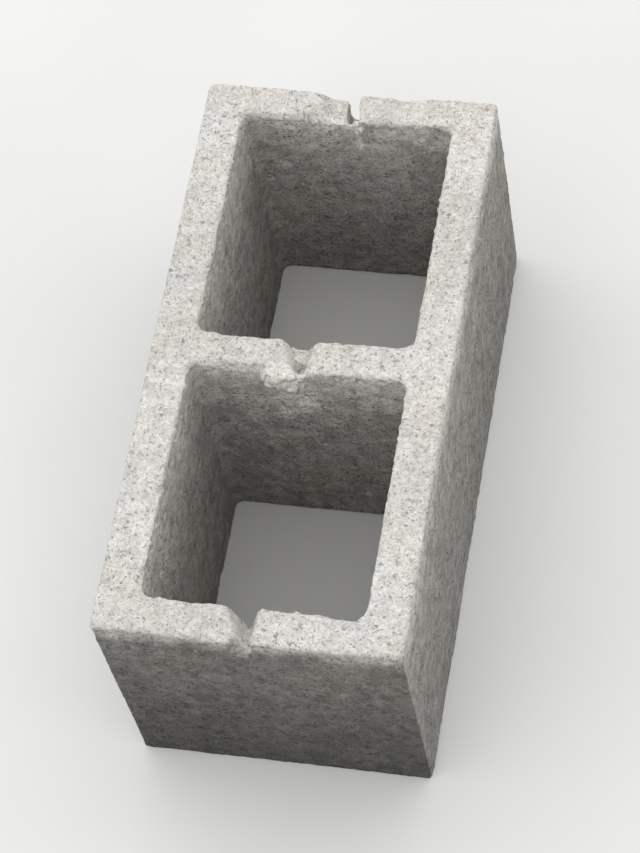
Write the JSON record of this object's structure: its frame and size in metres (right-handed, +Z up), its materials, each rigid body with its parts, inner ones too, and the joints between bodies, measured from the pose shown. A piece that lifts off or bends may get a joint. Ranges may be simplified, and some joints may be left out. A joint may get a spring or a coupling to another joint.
{
  "type": "hollow concrete block",
  "caption": "Hollow concrete block with tapered open cells, and a crumbled core-bar notch across the top of each end wall and of the web.",
  "frame": {"origin": "centre of the bed, the face that the block was cast on and stands on, at floor level", "axes": "+Z up, from the bed to the notched top face; +Y along the length, towards the end wall with the open slot, so that -Y is the end wall with the vee notch; +X across the width"},
  "size_m": [0.19, 0.39, 0.19],
  "materials": {
    "concrete": "matte"
  },
  "bodies": {
    "root": {"concrete_block": "concrete"}
  },
  "joints": []
}
